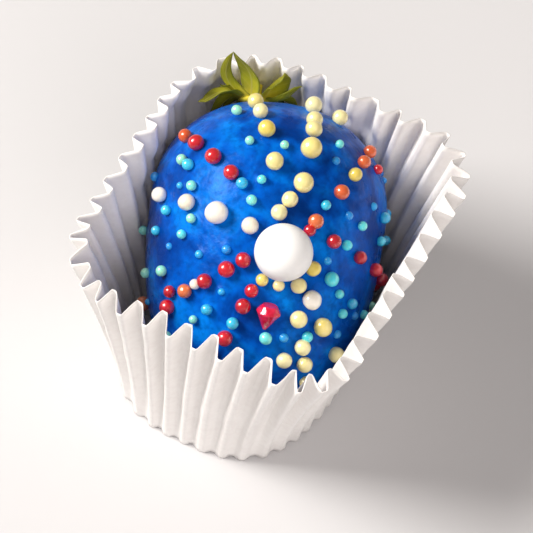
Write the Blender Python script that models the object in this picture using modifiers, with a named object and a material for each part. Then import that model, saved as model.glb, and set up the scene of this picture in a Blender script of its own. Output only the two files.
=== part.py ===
"""A strawberry dipped in blue chocolate, lying on its side in a fluted paper case.

The row frame has +Z up and its origin under the middle of the case, on the surface it stands on.
+X and +Y run along the sides of the case, whose mouth is pressed to a rounded rectangle. The berry
lies along the case with its tip towards -Y and its leafy crown against the wall at +Y, and one
large sugar ball is set into the coat on its upper side.
"""

import math

import bmesh
import bpy
from mathutils import Matrix, Vector

MM = 0.001
# The air left between touching pieces.
GAP = 0.3 * MM
# Points closer than this are one point.
MERGE = 0.01 * MM

# Paper case: a flat base, squeezed to an oval, and a fluted wall that flares to a rounded rectangle.
CASE_HEIGHT = 36.5 * MM
CASE_MOUTH_X = 49.8 * MM
CASE_MOUTH_Y = 53.6 * MM
# The mouth's corner radii, from the corner at +X +Y round to the one at +X -Y.
CASE_CORNER_RADII = (11 * MM, 16.5 * MM, 12.5 * MM, 8.5 * MM)
CASE_BASE_MIDDLE = Vector((-2.5, -0.3)) * MM
CASE_BASE_HALVES = (17.0 * MM, 22.1 * MM)
# How square the oval is: 2 is an ellipse.
CASE_BASE_SQUARENESS = 2.8
CASE_WALL = 0.4 * MM
FLUTES = 44
FLUTE_DEPTH_AT_BASE = 0.6 * MM
FLUTE_DEPTH_AT_MOUTH = 2.6 * MM
WALL_LEVELS = 8
# How the wall spreads from the base to the mouth: 1 is a straight slope, and more flares at the mouth.
WALL_FLARE = 1.2
# The flutes stand square to the flared lip, so the inside of each is higher: by this much of its depth.
FLUTE_RISE = 0.6
# Where the berry leans on the wall, the paper bulges to keep this much off the coat, and the inside of
# each flute is pressed back to keep this gap. The gap is wide because the wall is straight between levels.
WALL_ROOM = 1.2 * MM
PRESSED_GAP = 0.55 * MM
# The berry is looked for this far outside and inside the wall, in steps of this length.
SEARCH_OUT, SEARCH_IN, SEARCH_STEP = 4 * MM, 6 * MM, 0.1 * MM
# The wall's direction at a place is taken from points this share of the way round to either side.
SHARE_STEP = 0.001
# Edges folded by more than this are creases.
CREASE_ANGLE = math.radians(25)
# One flute's way round: its place within the pitch, and how far in it lies (0 outside, 1 inside).
FLUTE_WAVE = ((0.0, 0.0), (0.22, 0.0), (0.5, 1.0), (0.72, 1.0))

# Berry: two rounded half profiles that meet at the widest station, turned about the berry's axis.
BERRY_RADIUS = 18.2 * MM
CROWN_LENGTH = 17.2 * MM
TIP_LENGTH = 33.0 * MM
CROWN_FULLNESS = 2.15
TIP_FULLNESS = 2.25
CROWN_HOLLOW_RADIUS = 7.0 * MM
CROWN_HOLLOW_DEPTH = 1.2 * MM
BERRY_PROFILE_POINTS = 26
BERRY_STEPS = 48
# The crown is tilted up and the tip is turned towards +X.
BERRY_TILT = math.radians(26)
BERRY_TURN = math.radians(21)
BERRY_WIDEST_X = -3.9 * MM
BERRY_WIDEST_Y = 7.5 * MM
BERRY_CLEARANCE = 1.1 * MM

# Sugar ball, pressed into the coat: its place along and round the berry's axis.
BALL_RADIUS = 4.4 * MM
BALL_SUNK = 0.7 * MM
BALL_ALONG = 8.4 * MM
BALL_ROUND = math.radians(11.5)
BALL_SEGMENTS = 28
BALL_RINGS = 16

# Calyx: sepals that spread from a small disc on the crown. It sits to one side of the axis.
CALYX_SIDE = -4.0 * MM
CALYX_DISC_RADIUS = 2.6 * MM
CALYX_LIFT = 0.9 * MM
SEPAL_THICKNESS = 0.5 * MM
SEPAL_STATIONS = 6
# How far a sepal bows off the line to its tip, in thicknesses.
SEPAL_BELLY = 0.45
# The width along a sepal: below 1 the widest place moves to the root, and the edge grows fuller.
SEPAL_SHIFT = 0.75
SEPAL_FULLNESS = 0.8
# The leaves push the paper out as a dome would: its middle up the berry's axis, and its halves across
# the axis and along it.
LEAF_DOME_UP = 12 * MM
LEAF_DOME_ACROSS = 11.6 * MM
LEAF_DOME_ALONG = 8 * MM
# Each sepal's tip, to the right of, above and behind the disc, and its greatest width.
SEPALS = (
    ((9.5 * MM, 3.5 * MM, 0.6 * MM), 4.4 * MM),
    ((4.9 * MM, 9.4 * MM, 3.2 * MM), 4.8 * MM),
    ((-4.0 * MM, 9.2 * MM, 6.2 * MM), 5.0 * MM),
    ((-7.4 * MM, 4.4 * MM, -0.6 * MM), 4.2 * MM),
    ((-8.0 * MM, -1.2 * MM, -2.4 * MM), 4.0 * MM),
    ((-3.6 * MM, -6.2 * MM, -0.6 * MM), 4.2 * MM),
    ((2.0 * MM, -6.4 * MM, 0.1 * MM), 4.0 * MM),
    ((7.2 * MM, -3.8 * MM, 0.4 * MM), 4.2 * MM),
)

COAT_BLUE = (0.0, 0.09, 0.56)
PAPER_WHITE = (0.88, 0.85, 0.86)
LEAF_GREEN = (0.2, 0.28, 0.02)
SUGAR_WHITE = (0.93, 0.91, 0.89)


def clear_scene():
    for obj in list(bpy.data.objects):
        bpy.data.objects.remove(obj, do_unlink=True)


def new_collection(name):
    collection = bpy.data.collections.new(name)
    bpy.context.scene.collection.children.link(collection)
    return collection


def new_material(name, colour, roughness):
    material = bpy.data.materials.new(name)
    material.use_nodes = True
    shader = material.node_tree.nodes["Principled BSDF"]
    shader.inputs["Base Color"].default_value = (*colour, 1.0)
    shader.inputs["Roughness"].default_value = roughness
    shader.inputs["Metallic"].default_value = 0.0
    return material


def object_from(bm, name, collection, material=None):
    """Turns a bmesh into an object of this name, shaded smooth, in the collection."""
    mesh = bpy.data.meshes.new(name)
    bm.to_mesh(mesh)
    bm.free()
    mesh.shade_smooth()
    obj = bpy.data.objects.new(name, mesh)
    collection.objects.link(obj)
    if material is not None:
        mesh.materials.append(material)
    return obj


def mouth_point(share):
    """The point of the mouth's rounded rectangle at this share of the way round, from +X at y = 0."""
    half_x, half_y = CASE_MOUTH_X / 2, CASE_MOUTH_Y / 2
    corners = [
        (Vector((sx * (half_x - r), sy * (half_y - r))), r)
        for (sx, sy), r in zip(((1, 1), (-1, 1), (-1, -1), (1, -1)), CASE_CORNER_RADII)
    ]
    route = []
    start = Vector((half_x, 0))
    for quarter, (centre, radius) in enumerate(corners):
        angle = quarter * math.pi / 2
        arc_start = centre + radius * Vector((math.cos(angle), math.sin(angle)))
        route.append((start, arc_start, None, 0.0, (arc_start - start).length))
        route.append((centre, None, angle, radius, radius * math.pi / 2))
        start = centre + radius * Vector((-math.sin(angle), math.cos(angle)))
    end = Vector((half_x, 0))
    route.append((start, end, None, 0.0, (end - start).length))
    left = (share % 1.0) * sum(piece[4] for piece in route)
    for first, last, angle, radius, length in route:
        if left <= length:
            break
        left -= length
    if angle is None:
        return first.lerp(last, left / length)
    turned = angle + left / radius
    return first + radius * Vector((math.cos(turned), math.sin(turned)))


def base_point(share):
    """The point of the oval base's rim at this share of the way round."""
    angle = 2 * math.pi * share
    way = Vector((math.cos(angle), math.sin(angle)))
    reach = sum(abs(w / half) ** CASE_BASE_SQUARENESS for w, half in zip(way, CASE_BASE_HALVES))
    return CASE_BASE_MIDDLE + way * reach ** (-1 / CASE_BASE_SQUARENESS)


def in_berry(local):
    """Whether a point, on the berry's own axes, lies in the coat or in the dome of the leaves."""
    crown = local.z > 0
    length, power = (CROWN_LENGTH, CROWN_FULLNESS) if crown else (TIP_LENGTH, TIP_FULLNESS)
    if (local.xy.length / BERRY_RADIUS) ** power + (abs(local.z) / length) ** power < 1:
        return True
    across = math.hypot(local.x - CALYX_SIDE, local.y) / LEAF_DOME_ACROSS
    return math.hypot(across, (local.z - LEAF_DOME_UP) / LEAF_DOME_ALONG) < 1


def wall_room(foot, outward, unplace):
    """How far inwards the berry lies from a point of the smooth wall, less than 0 if it lies outside."""
    for step in range(round((SEARCH_OUT + SEARCH_IN) / SEARCH_STEP)):
        inward = step * SEARCH_STEP - SEARCH_OUT
        if in_berry(unplace @ (foot - outward * inward)):
            return inward
    return SEARCH_IN


def wall_point(share, inward, level, unplace):
    """A point of the fluted wall: level is 0 at the base and 1 at the mouth."""

    def outline(at):
        return base_point(at).lerp(mouth_point(at), level**WALL_FLARE)

    along = outline(share + SHARE_STEP) - outline(share - SHARE_STEP)
    outward = Vector((along.y, -along.x, 0)).normalized()
    foot = outline(share).to_3d() + Vector((0, 0, CASE_HEIGHT * level))
    room = wall_room(foot, outward, unplace)
    bulge = max(WALL_ROOM - room, 0.0)
    depth = FLUTE_DEPTH_AT_BASE + (FLUTE_DEPTH_AT_MOUTH - FLUTE_DEPTH_AT_BASE) * level
    depth = min(depth, room + bulge - PRESSED_GAP - CASE_WALL) * inward
    return foot + outward * (bulge - depth) + Vector((0, 0, FLUTE_RISE * depth * level**2))


def build_case(collection, material):
    """The base and the fluted wall as one open sheet, thickened inwards."""
    bm = bmesh.new()
    unplace = berry_matrix().inverted()
    rings = [
        [
            bm.verts.new(wall_point((flute + place) / FLUTES, inward, step / WALL_LEVELS, unplace))
            for flute in range(FLUTES)
            for place, inward in FLUTE_WAVE
        ]
        for step in range(WALL_LEVELS + 1)
    ]
    count = len(rings[0])
    for low, high in zip(rings, rings[1:]):
        for i in range(count):
            j = (i + 1) % count
            bm.faces.new((low[i], low[j], high[j], high[i]))
    middle = bm.verts.new(CASE_BASE_MIDDLE.to_3d())
    for i in range(count):
        bm.faces.new((middle, rings[0][(i + 1) % count], rings[0][i]))
    case = object_from(bm, "paper_case", collection, material)
    wall = case.modifiers.new("paper", "SOLIDIFY")
    wall.thickness = CASE_WALL
    wall.offset = -1
    case.data.set_sharp_from_angle(angle=CREASE_ANGLE)
    return case


def berry_radius_at(along):
    """The berry's radius at a place along its axis, measured from the widest station to the tip."""
    if along < 0:
        return BERRY_RADIUS * (1 - (-along / CROWN_LENGTH) ** CROWN_FULLNESS) ** (1 / CROWN_FULLNESS)
    return BERRY_RADIUS * (1 - (along / TIP_LENGTH) ** TIP_FULLNESS) ** (1 / TIP_FULLNESS)


def berry_profile():
    """(radius, height) pairs from the crown down to the tip, with the axis upright and the crown up."""
    points = []
    for i in range(BERRY_PROFILE_POINTS + 1):
        angle = math.pi * i / BERRY_PROFILE_POINTS
        crown = angle < math.pi / 2
        length = CROWN_LENGTH if crown else TIP_LENGTH
        power = 2 / (CROWN_FULLNESS if crown else TIP_FULLNESS)
        radius = BERRY_RADIUS * max(math.sin(angle), 0.0) ** power
        height = math.copysign(length * abs(math.cos(angle)) ** power, math.cos(angle))
        if crown and radius < CROWN_HOLLOW_RADIUS:
            height -= CROWN_HOLLOW_DEPTH * (1 - (radius / CROWN_HOLLOW_RADIUS) ** 2) ** 2
        points.append((radius if 0 < i < BERRY_PROFILE_POINTS else 0.0, height))
    return points


def berry_matrix():
    """Lays the upright berry down, so that its lowest point clears the case's base."""
    turn = Matrix.Rotation(BERRY_TURN, 4, "Z") @ Matrix.Rotation(BERRY_TILT - math.pi / 2, 4, "X")
    crown_up = math.sin(BERRY_TILT)
    across = math.cos(BERRY_TILT)
    lowest = min(height * crown_up - radius * across for radius, height in berry_profile())
    height = CASE_WALL + BERRY_CLEARANCE - lowest
    return Matrix.Translation((BERRY_WIDEST_X, BERRY_WIDEST_Y, height)) @ turn


def on_berry(along, around, off):
    """A point this far off the coat: along the axis to the tip, and round from the top towards +X."""
    slope = (berry_radius_at(along + MERGE) - berry_radius_at(along - MERGE)) / (2 * MERGE)
    normal = Vector((1, slope)).normalized()
    radius = berry_radius_at(along) + off * normal.x
    height = -along + off * normal.y
    local = Vector((radius * math.sin(around), -radius * math.cos(around), height))
    return berry_matrix() @ local


def build_ball(collection, material, helpers):
    """The sugar ball, and the slightly larger sphere that makes its seat in the coat."""
    centre = on_berry(BALL_ALONG, BALL_ROUND, BALL_RADIUS - BALL_SUNK)
    made = []
    for name, radius, group in (
        ("sugar_ball", BALL_RADIUS, collection),
        ("ball_seat", BALL_RADIUS + GAP, helpers),
    ):
        bm = bmesh.new()
        bmesh.ops.create_uvsphere(
            bm, u_segments=BALL_SEGMENTS, v_segments=BALL_RINGS, radius=radius
        )
        ball = object_from(bm, name, group, material)
        ball.location = centre
        made.append(ball)
    seat = made[1]
    seat.hide_render = True
    seat.display_type = "WIRE"
    return made


def build_berry(collection, material, ball_seat):
    """The berry and its coat, one solid, with the seat of the sugar ball cut into it."""
    bm = bmesh.new()
    verts = [bm.verts.new((radius, 0, height)) for radius, height in berry_profile()]
    for upper, lower in zip(verts, verts[1:]):
        bm.edges.new((upper, lower))
    berry = object_from(bm, "coated_berry", collection, material)
    turned = berry.modifiers.new("turned", "SCREW")
    turned.steps = BERRY_STEPS
    turned.render_steps = BERRY_STEPS
    turned.use_merge_vertices = True
    turned.merge_threshold = MERGE
    seat = berry.modifiers.new("ball seat", "BOOLEAN")
    seat.operation = "DIFFERENCE"
    seat.object = ball_seat
    berry.matrix_world = berry_matrix()
    return berry


def calyx_point(right, up, back):
    """A point beside the calyx disc, in the berry's own directions."""
    crown = CROWN_LENGTH - CROWN_HOLLOW_DEPTH + CALYX_LIFT
    return berry_matrix() @ Vector((CALYX_SIDE + right, -up, crown + back))


def add_sepal(bm, rim, tip, width):
    """A pointed leaf from one edge of the disc, whose two vertices rim holds, to its tip."""
    root = (rim[0].co + rim[1].co) / 2
    end = calyx_point(*tip)
    across = (rim[1].co - rim[0].co).normalized()
    behind = (berry_matrix().to_3x3() @ Vector((0, 0, 1))).normalized()
    previous = rim
    for step in range(1, SEPAL_STATIONS):
        share = step / SEPAL_STATIONS
        bow = SEPAL_BELLY * math.sin(math.pi * share) * SEPAL_THICKNESS
        middle = root.lerp(end, share) + bow * behind
        half = width / 2 * math.sin(math.pi * share**SEPAL_SHIFT) ** SEPAL_FULLNESS
        pair = [bm.verts.new(middle - across * half), bm.verts.new(middle + across * half)]
        bm.faces.new((previous[0], previous[1], pair[1], pair[0]))
        previous = pair
    bm.faces.new((previous[0], previous[1], bm.verts.new(end)))


def build_calyx(collection, material):
    """A disc with one sepal on each of its sides, as one sheet, thickened both ways."""
    bm = bmesh.new()
    directions = [math.atan2(tip[1], tip[0]) for tip, _ in SEPALS]
    corners = []
    for here, after in zip(directions, directions[1:] + directions[:1]):
        gap = (after - here + math.pi) % (2 * math.pi) - math.pi
        angle = here + gap / 2
        corners.append(
            bm.verts.new(
                calyx_point(
                    CALYX_DISC_RADIUS * math.cos(angle), CALYX_DISC_RADIUS * math.sin(angle), 0
                )
            )
        )
    bm.faces.new(corners)
    for i, (tip, width) in enumerate(SEPALS):
        add_sepal(bm, (corners[i], corners[i - 1]), tip, width)
    bmesh.ops.recalc_face_normals(bm, faces=bm.faces)
    calyx = object_from(bm, "calyx", collection, material)
    leaf = calyx.modifiers.new("leaf", "SOLIDIFY")
    leaf.thickness = SEPAL_THICKNESS
    leaf.offset = 0
    return calyx


def main():
    clear_scene()
    parts = new_collection("coated_strawberry")
    helpers = new_collection("cutters")
    ball, ball_seat = build_ball(parts, new_material("sugar", SUGAR_WHITE, 0.35), helpers)
    build_case(parts, new_material("greaseproof_paper", PAPER_WHITE, 0.8))
    build_berry(parts, new_material("blue_chocolate", COAT_BLUE, 0.35), ball_seat)
    build_calyx(parts, new_material("leaf", LEAF_GREEN, 0.6))


main()
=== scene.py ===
"""Looks of a strawberry dipped in blue chocolate, set with sugar pearls and lying in its paper case.

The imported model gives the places: the case stands on Z = 0 with its sides along X and Y, and the
berry lies in it with its tip towards -Y. Lengths are in metres, and names ending in _mm in millimetres.
"""

import logging
import math
from collections.abc import Callable, Sequence
from dataclasses import dataclass, field
from enum import Enum
from functools import partial

import bmesh
import bpy
import numpy as np
from mathutils import Matrix, Vector, noise
from mathutils.bvhtree import BVHTree


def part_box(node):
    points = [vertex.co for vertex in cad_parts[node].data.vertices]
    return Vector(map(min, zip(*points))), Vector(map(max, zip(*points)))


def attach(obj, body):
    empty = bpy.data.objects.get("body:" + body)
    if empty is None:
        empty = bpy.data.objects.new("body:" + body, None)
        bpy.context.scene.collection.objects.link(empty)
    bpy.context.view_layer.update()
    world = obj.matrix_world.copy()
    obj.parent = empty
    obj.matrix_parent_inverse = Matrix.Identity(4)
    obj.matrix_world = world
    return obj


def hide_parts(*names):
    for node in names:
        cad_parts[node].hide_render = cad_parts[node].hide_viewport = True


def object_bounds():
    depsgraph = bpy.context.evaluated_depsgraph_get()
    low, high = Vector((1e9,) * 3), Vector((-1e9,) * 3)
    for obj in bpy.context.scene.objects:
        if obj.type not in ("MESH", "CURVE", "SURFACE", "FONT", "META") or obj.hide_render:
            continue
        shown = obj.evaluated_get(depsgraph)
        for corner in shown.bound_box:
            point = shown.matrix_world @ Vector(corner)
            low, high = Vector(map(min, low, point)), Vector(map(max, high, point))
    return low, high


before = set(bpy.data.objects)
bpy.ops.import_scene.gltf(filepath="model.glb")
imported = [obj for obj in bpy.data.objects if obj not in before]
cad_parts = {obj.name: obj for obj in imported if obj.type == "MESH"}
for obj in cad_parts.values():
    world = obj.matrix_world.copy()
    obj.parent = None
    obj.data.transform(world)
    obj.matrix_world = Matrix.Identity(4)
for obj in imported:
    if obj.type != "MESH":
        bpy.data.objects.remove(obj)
cad_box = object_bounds()

log = logging.getLogger("coated_strawberry")

MM = 0.001
BODY = "root"
UP = Vector((0, 0, 1))
TURN = 2 * math.pi
SEED_SHIFT = 17.3
FIRST_PEARL_SEED = 20


# ===== Helpers for nodes, meshes and colours =====


def linear(colour: str) -> tuple[float, float, float, float]:
    """Turns an sRGB hex colour into linear RGBA.

    Args:
        colour: The colour as "#RRGGBB".

    Returns:
        Red, green, blue and alpha, each from 0 to 1.
    """
    shares = [int(colour[i : i + 2], 16) / 255 for i in (1, 3, 5)]
    return (*(s / 12.92 if s <= 0.04045 else ((s + 0.055) / 1.055) ** 2.4 for s in shares), 1.0)


def grain(size_mm: float) -> float:
    """Returns the texture scale at which a pattern on Object coordinates repeats at this size."""
    return 1 / (size_mm * MM)


def add_node(
    tree: bpy.types.NodeTree, kind: str, inputs: dict | None = None, **settings: object
) -> bpy.types.Node:
    """Adds a node, sets its options, and fills or links its inputs.

    Args:
        tree: The shader or geometry tree that gets the node.
        kind: The node's type name, where "ShaderNode" may be left off.
        inputs: What goes into each input, by the input's name or number: a value, an output
            socket, or a node that stands for its first output.
        **settings: The node's own options.

    Returns:
        The new node.
    """
    node = tree.nodes.new(kind if "Node" in kind else "ShaderNode" + kind)
    for name, value in settings.items():
        setattr(node, name, value)
    for key, value in (inputs or {}).items():
        if isinstance(value, bpy.types.Node):
            value = value.outputs[0]
        if isinstance(value, bpy.types.NodeSocket):
            tree.links.new(value, node.inputs[key])
        else:
            node.inputs[key].default_value = value
    return node


def set_stops(node: bpy.types.Node, stops: Sequence[tuple[float, str]]) -> bpy.types.Node:
    """Gives a Color Ramp node its stops.

    Args:
        node: The ramp.
        stops: Each stop's place from 0 to 1 and its hex colour.

    Returns:
        The same node.
    """
    ramp = node.color_ramp
    while len(ramp.elements) < len(stops):
        ramp.elements.new(1.0)
    for element, (place, colour) in zip(ramp.elements, stops):
        element.position = place
        element.color = linear(colour)
    return node


def blank_material(name: str) -> tuple[bpy.types.Material, Callable[..., bpy.types.Node]]:
    """Makes a material without nodes.

    Args:
        name: The material's name.

    Returns:
        The material, and add_node for its tree.
    """
    material = bpy.data.materials.new(name)
    material.use_nodes = True
    material.node_tree.nodes.clear()
    return material, partial(add_node, material.node_tree)


def link_object(name: str, data: bpy.types.ID) -> bpy.types.Object:
    """Makes an object of a mesh, a light or a camera.

    Args:
        name: The object's name.
        data: The mesh, light or camera.

    Returns:
        The object, linked into the scene.
    """
    made = bpy.data.objects.new(name, data)
    bpy.context.scene.collection.objects.link(made)
    return made


def dress_mesh(mesh: bpy.types.Mesh, points: np.ndarray, material: bpy.types.Material) -> bpy.types.Object:
    """Moves a mesh's vertices into place and makes a smooth object of it.

    Args:
        mesh: The mesh.
        points: The place of each vertex.
        material: The finish of the whole piece.

    Returns:
        The object, linked into the scene.
    """
    mesh.vertices.foreach_set("co", points.ravel())
    mesh.materials.append(material)
    mesh.shade_smooth()
    mesh.update()
    return link_object(mesh.name, mesh)


def new_piece(
    name: str, points: np.ndarray, faces: Sequence[Sequence[int]], material: bpy.types.Material
) -> bpy.types.Object:
    """Makes a smooth-shaded object at the origin from points and faces.

    Args:
        name: The object's name.
        points: One row of three coordinates for each vertex.
        faces: The vertex numbers of each face.
        material: The finish of the whole piece.

    Returns:
        The object, linked into the scene.
    """
    mesh = bpy.data.meshes.new(name)
    mesh.from_pydata([tuple(map(float, p)) for p in points], [], faces)
    return dress_mesh(mesh, points, material)


def write_floats(mesh: bpy.types.Mesh, name: str, values: np.ndarray) -> None:
    """Stores one number, or one vector, for each vertex.

    Args:
        mesh: The mesh that gets the attribute.
        name: The attribute's name.
        values: One number or one row of three for each vertex.
    """
    vector = np.ndim(values) == 2
    attribute = mesh.attributes.new(name, "FLOAT_VECTOR" if vector else "FLOAT", "POINT")
    attribute.data.foreach_set("vector" if vector else "value", np.ravel(values).astype(np.float32))


def vertex_array(mesh: bpy.types.Mesh, what: str = "co") -> np.ndarray:
    """Reads a vector of every vertex.

    Args:
        mesh: The mesh to read.
        what: The vertex property, such as "co" or "normal".

    Returns:
        One row of three for each vertex.
    """
    found = np.empty(len(mesh.vertices) * 3)
    mesh.vertices.foreach_get(what, found)
    return found.reshape(-1, 3)


def bake_modifiers(piece: bpy.types.Object) -> None:
    """Replaces a piece's mesh by what its modifiers make of it, and drops the modifiers.

    Args:
        piece: The object that is baked.
    """
    graph = bpy.context.evaluated_depsgraph_get()
    made = bpy.data.meshes.new_from_object(piece.evaluated_get(graph), depsgraph=graph)
    piece.modifiers.clear()
    piece.data = made


def noise_field(points: np.ndarray, size_mm: Sequence[float], seed: int) -> np.ndarray:
    """Samples smooth noise, about -1 to 1, at each point.

    Args:
        points: One row of three coordinates for each point, in metres.
        size_mm: The size of the noise's lumps along each axis.
        seed: Picks another part of the noise.

    Returns:
        One value for each point.
    """
    placed = points / (np.array(size_mm) * MM) + SEED_SHIFT * seed
    return np.array([noise.noise(Vector(p)) for p in placed])


class GeometryTree:
    """A Geometry Nodes tree with named inputs that is run on an object and then baked."""

    def __init__(self, name: str, inputs: dict[str, str]) -> None:
        """Starts the tree.

        Args:
            name: The tree's name.
            inputs: The socket type of each named input.
        """
        self.tree = bpy.data.node_groups.new(name, "GeometryNodeTree")
        face = self.tree.interface
        face.new_socket("Geometry", in_out="INPUT", socket_type="NodeSocketGeometry")
        self.sockets = {
            label: face.new_socket(label, in_out="INPUT", socket_type=kind).identifier
            for label, kind in inputs.items()
        }
        face.new_socket("Geometry", in_out="OUTPUT", socket_type="NodeSocketGeometry")
        self.given = add_node(self.tree, "NodeGroupInput").outputs

    def add(self, kind: str, inputs: dict | None = None, **settings: object) -> bpy.types.Node:
        """Adds a node to the tree, as add_node does."""
        return add_node(self.tree, kind, inputs, **settings)

    def end(self, geometry: bpy.types.NodeSocket) -> None:
        """Closes the tree: instances become real, and the Material input is set on all of it.

        Args:
            geometry: What the tree has made.
        """
        real = self.add("GeometryNodeRealizeInstances", {"Geometry": geometry})
        smooth = self.add("GeometryNodeSetShadeSmooth", {"Geometry": real})
        dressed = self.add(
            "GeometryNodeSetMaterial", {"Geometry": smooth, "Material": self.given["Material"]}
        )
        self.add("NodeGroupOutput", {0: dressed})

    def run(self, piece: bpy.types.Object, values: dict[str, object]) -> None:
        """Runs the tree on a piece and keeps the result as a plain mesh.

        Args:
            piece: The object whose mesh goes in.
            values: The value of each named input.
        """
        modifier = piece.modifiers.new(self.tree.name, "NODES")
        modifier.node_group = self.tree
        for label, value in values.items():
            modifier[self.sockets[label]] = value
        bake_modifiers(piece)


# ===== Finishes =====


@dataclass(frozen=True)
class SetChocolate:
    """Coloured white chocolate, dipped and left to set: opaque pigment under a satin gloss."""

    name: str = "dipped_blue_white_chocolate"
    deep: str = "#00368A"
    body: str = "#0056BE"
    bright: str = "#027CE2"
    fleck: str = "#002A74"
    shine: str = "#8CC0FF"
    cloud_mm: float = 6.5
    flow_mm: float = 2.6
    fleck_mm: float = 0.95
    grit_mm: float = 0.42
    roughness: float = 0.27

    def material(self) -> bpy.types.Material:
        """Builds the material: cloudy blue with darker flecks, flow marks and fine grit.

        Returns:
            The material.
        """
        material, add = blank_material(self.name)
        place = add("TexCoord").outputs["Object"]
        cloud = add(
            "TexNoise", {"Vector": place, "Scale": grain(self.cloud_mm), "Detail": 3.0, "Distortion": 0.6}
        )
        blues = add("ValToRGB", {"Fac": cloud})
        set_stops(blues, [(0.34, self.deep), (0.50, self.body), (0.67, self.bright)])
        flecks = add("TexNoise", {"Vector": place, "Scale": grain(self.fleck_mm), "Detail": 2.0})
        fleck_share = add("MapRange", {"Value": flecks, "From Min": 0.44, "From Max": 0.76, "To Max": 0.5})
        flecked = add("Mix", {"Factor": fleck_share, 6: blues, 7: linear(self.fleck)}, data_type="RGBA")
        flow = add("TexNoise", {"Vector": place, "Scale": grain(self.flow_mm), "Detail": 2.0})
        grit = add(
            "TexNoise", {"Vector": place, "Scale": grain(self.grit_mm), "Detail": 2.0, "Roughness": 0.6}
        )
        gloss = add(
            "MapRange", {"Value": flow, "To Min": self.roughness - 0.05, "To Max": self.roughness + 0.09}
        )
        rippled = add("Bump", {"Height": flow, "Strength": 0.5, "Distance": 0.4 * MM})
        gritty = add("Bump", {"Height": grit, "Normal": rippled, "Strength": 0.4, "Distance": 0.07 * MM})
        shader = add(
            "BsdfPrincipled",
            {
                "Base Color": flecked.outputs[2],
                "Roughness": gloss,
                "IOR": 1.42,
                "Specular IOR Level": 0.3,
                "Specular Tint": linear(self.shine),
                "Normal": gritty,
            },
        )
        add("OutputMaterial", {"Surface": shader})
        return material


@dataclass(frozen=True)
class PearledSugar:
    """A sugar pearl's shell, panned with mica lustre: its colour under a clear glaze.

    Attributes:
        name: The material's name.
        pale: The colour of the palest pearl of the kind.
        strong: The colour of the strongest pearl of the kind.
        middle: A colour between them, where a plain blend isn't enough.
        metallic: How much of the lustre is mica.
        roughness: How far the polish scatters.
        clear: How much clear glaze lies on it.
    """

    name: str
    pale: str
    strong: str
    middle: str = ""
    metallic: float = 0.2
    roughness: float = 0.34
    clear: float = 1.0

    def material(self) -> bpy.types.Material:
        """Builds the material: each pearl has its own tone, and its shell is slightly mottled.

        Returns:
            The material.
        """
        material, add = blank_material(self.name)
        place = add("TexCoord").outputs["Object"]
        tone = add("Attribute", attribute_name="tone").outputs["Fac"]
        mottle = add("TexNoise", {"Vector": place, "Scale": grain(0.7), "Detail": 3.0})
        share = add("Math", {0: mottle, 1: 0.5, 2: tone}, operation="MULTIPLY_ADD")
        colour = add("MapRange", {"Value": share, "From Min": 0.25, "From Max": 1.25})
        ramp = add("ValToRGB", {"Fac": colour})
        between = [(0.5, self.middle)] if self.middle else []
        set_stops(ramp, [(0.0, self.pale), *between, (1.0, self.strong)])
        grit = add("TexNoise", {"Vector": place, "Scale": grain(0.35), "Detail": 2.0})
        pitted = add("Bump", {"Height": grit, "Strength": 0.25, "Distance": 0.04 * MM})
        shader = add(
            "BsdfPrincipled",
            {
                "Base Color": ramp,
                "Metallic": self.metallic,
                "Roughness": self.roughness,
                "IOR": 1.52,
                "Coat Weight": self.clear,
                "Coat Roughness": 0.2,
                "Coat IOR": 1.8,
                "Normal": pitted,
            },
        )
        add("OutputMaterial", {"Surface": shader})
        return material


@dataclass(frozen=True)
class CandyGlass:
    """Red boiled sugar, cast in a faceted mould: glassy and a little see-through."""

    name: str = "red_cast_sugar"
    colour: str = "#F42A55"
    shade: str = "#D00C34"

    def material(self) -> bpy.types.Material:
        """Builds the material: cloudy reds under a glassy surface.

        Returns:
            The material.
        """
        material, add = blank_material(self.name)
        place = add("TexCoord").outputs["Object"]
        cloud = add("TexNoise", {"Vector": place, "Scale": grain(1.4), "Detail": 2.0})
        reds = add("ValToRGB", {"Fac": cloud})
        set_stops(reds, [(0.35, self.shade), (0.65, self.colour)])
        shader = add(
            "BsdfPrincipled",
            {
                "Base Color": reds,
                "Roughness": 0.12,
                "IOR": 1.5,
                "Transmission Weight": 0.15,
                "Coat Weight": 0.8,
                "Coat Roughness": 0.05,
            },
        )
        add("OutputMaterial", {"Surface": shader})
        return material


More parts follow.
